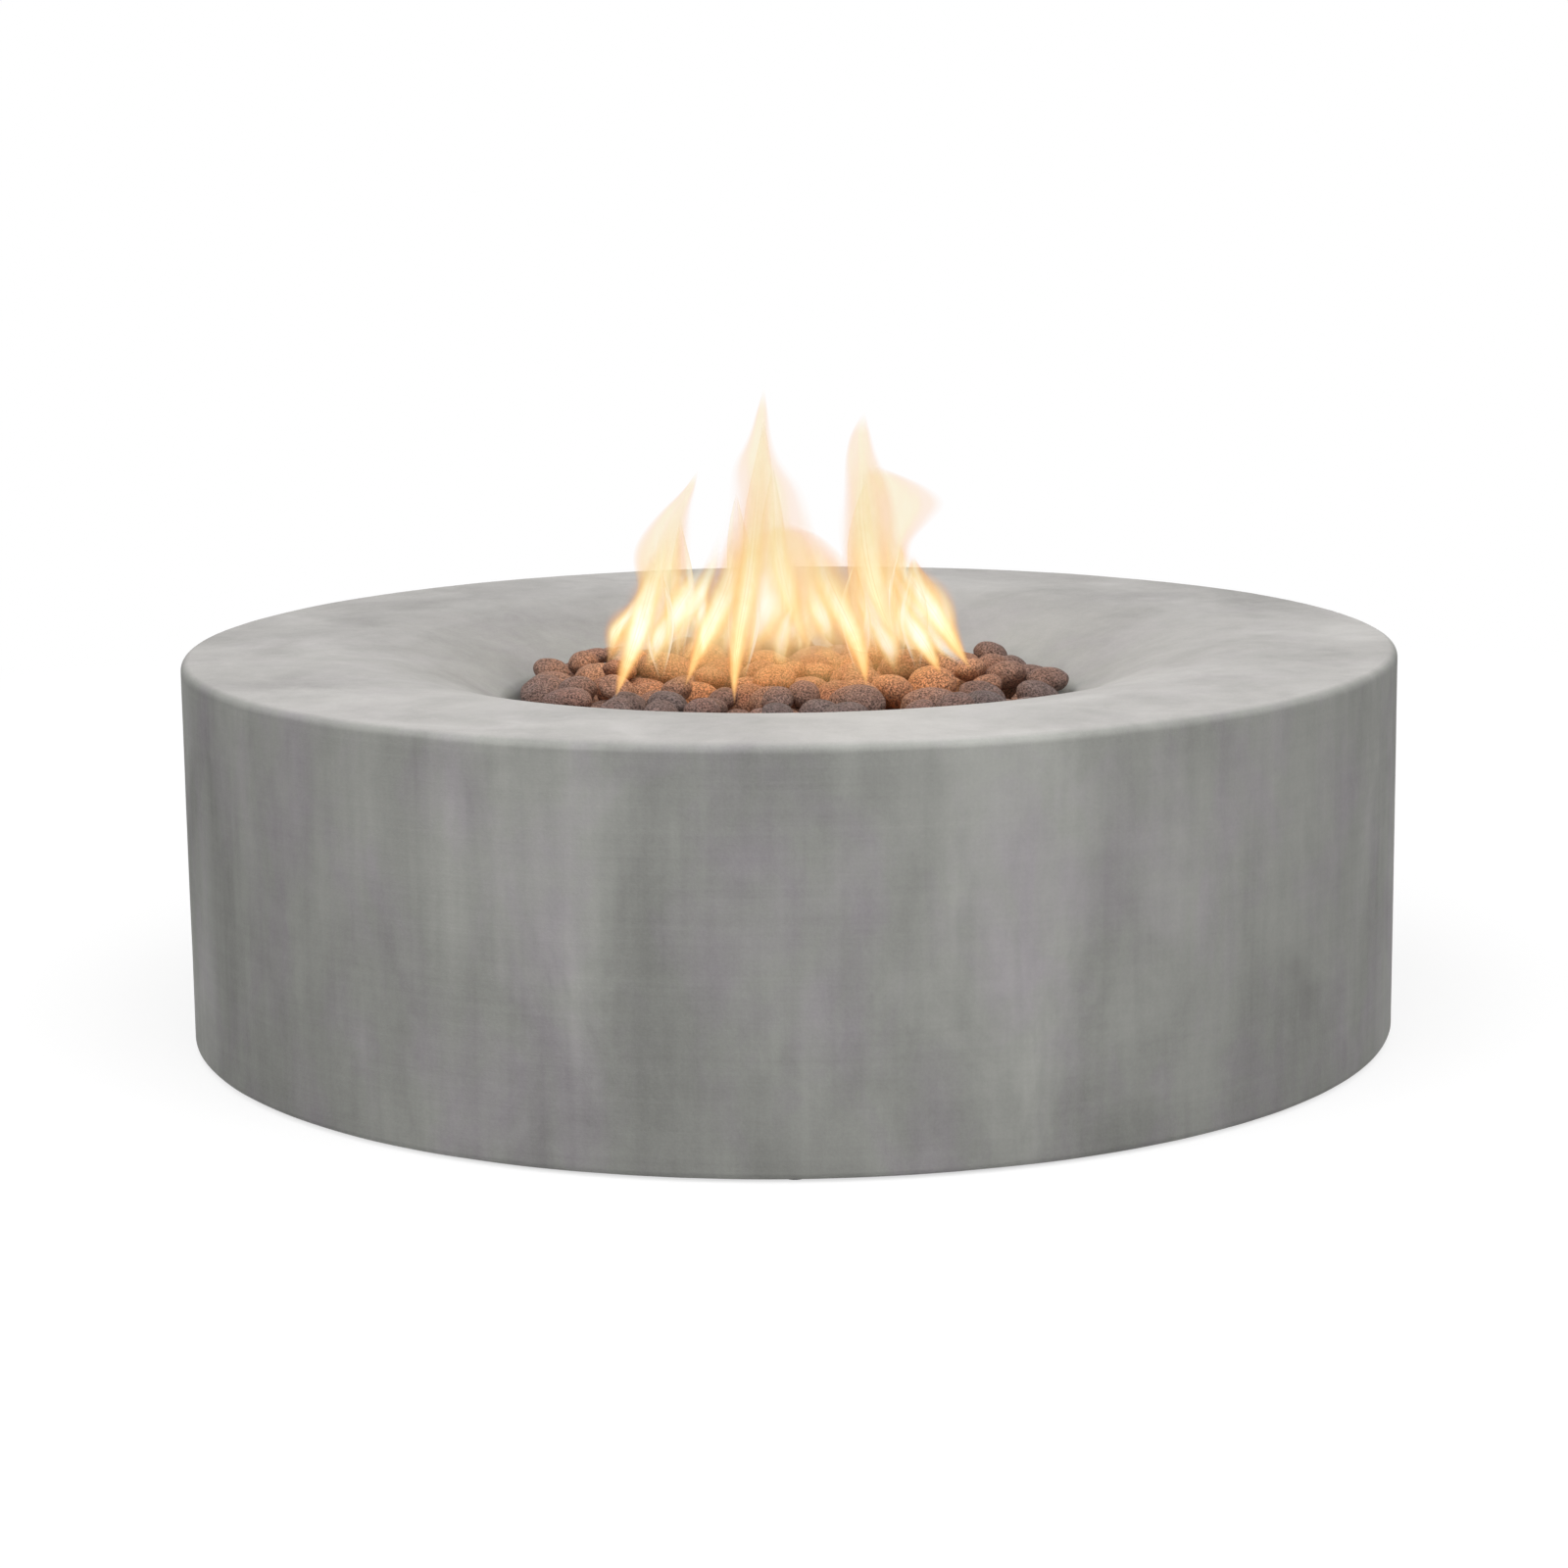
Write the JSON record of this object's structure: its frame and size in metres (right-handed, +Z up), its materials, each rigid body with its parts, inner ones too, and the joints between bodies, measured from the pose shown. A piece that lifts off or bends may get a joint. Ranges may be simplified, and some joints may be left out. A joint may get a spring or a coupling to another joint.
{
  "type": "gas fire pit",
  "caption": "Low round cast concrete gas fire pit: flat rim rolling into a dished bowl of lava stones over a ring burner, lit, with valve knob and push igniter in a rear recess",
  "frame": {"origin": "on the floor under the centre of the round body, at the bottom of the rubber pads", "axes": "+Z up; -Y is the side the picture was taken from; +Y is the back with the controls; +X to the right in the picture"},
  "size_m": [1.0669, 1.067, 0.5653],
  "materials": {
    "concrete": "cast, hand rubbed",
    "pad_rubber": "moulded",
    "lava_stone": "tumbled, pitted",
    "lava_gravel": "crushed",
    "stainless": "brushed",
    "zinc_steel": "zinc plated",
    "brass": "machined",
    "valve_alloy": "die cast",
    "knob_black": "moulded",
    "igniter_black": "moulded",
    "button_steel": "polished",
    "battery_case": "plain sleeve",
    "hose_rubber": "smooth",
    "lead_silicone": "silicone",
    "probe_copper": "drawn copper",
    "ceramic_white": "unglazed",
    "gasket_fibre": "pressed fibre",
    "vent_steel": "powder coat",
    "flame": "burning gas"
  },
  "bodies": {
    "fire_pit": {"concrete_shell": "concrete", "foot_pads": "pad_rubber", "vent_grille_left": "vent_steel", "vent_grille_right": "vent_steel", "vent_screws": "zinc_steel", "control_plate": "stainless", "plate_screws": "zinc_steel", "plate_inserts": "brass", "gas_valve": "valve_alloy", "valve_screws": "zinc_steel", "plunger_spring": "zinc_steel", "igniter_body": "igniter_black", "igniter_nut": "zinc_steel", "igniter_battery": "battery_case", "igniter_spring": "zinc_steel", "gas_inlet": "brass", "inlet_locknut": "brass", "inlet_pipe": "valve_alloy", "pipe_nuts": "brass", "pan_gasket": "gasket_fibre", "burner_pan": "stainless", "ring_burner": "stainless", "burner_nipple": "zinc_steel", "burner_washer": "zinc_steel", "burner_locknut": "zinc_steel", "air_mixer": "brass", "gas_orifice": "brass", "burner_elbow": "brass", "burner_hose": "hose_rubber", "hose_nuts": "brass", "spark_electrode": "zinc_steel", "electrode_insulator": "ceramic_white", "ignition_lead": "lead_silicone", "thermocouple": "probe_copper", "thermocouple_nut": "brass", "pilot_bracket": "stainless", "pilot_hood": "stainless", "pilot_screws": "zinc_steel", "lava_gravel": "lava_gravel", "lower_lava_stones": "lava_stone", "upper_lava_stones": "lava_stone", "flames": "flame"},
    "plunger": {"valve_plunger": "brass"},
    "knob": {"valve_stem": "brass", "control_knob": "knob_black"},
    "button": {"igniter_button": "button_steel"}
  },
  "joints": [
    {"name": "knob_push", "type": "slide", "parent": "fire_pit", "child": "plunger", "axis": [0, -1, 0], "range_m": [0, 0.004], "stiffness_N_per_m": 900, "deforming": ["plunger_spring"]},
    {"name": "knob_turn", "type": "hinge", "parent": "plunger", "child": "knob", "pos_m": [-0.032, 0.5, 0.205], "axis": [0, 1, 0], "range_deg": [-90, 0], "deforming": ["flames"]},
    {"name": "igniter_press", "type": "slide", "parent": "fire_pit", "child": "button", "axis": [0, -1, 0], "range_m": [0, 0.004], "stiffness_N_per_m": 700, "deforming": ["igniter_spring"]}
  ]
}
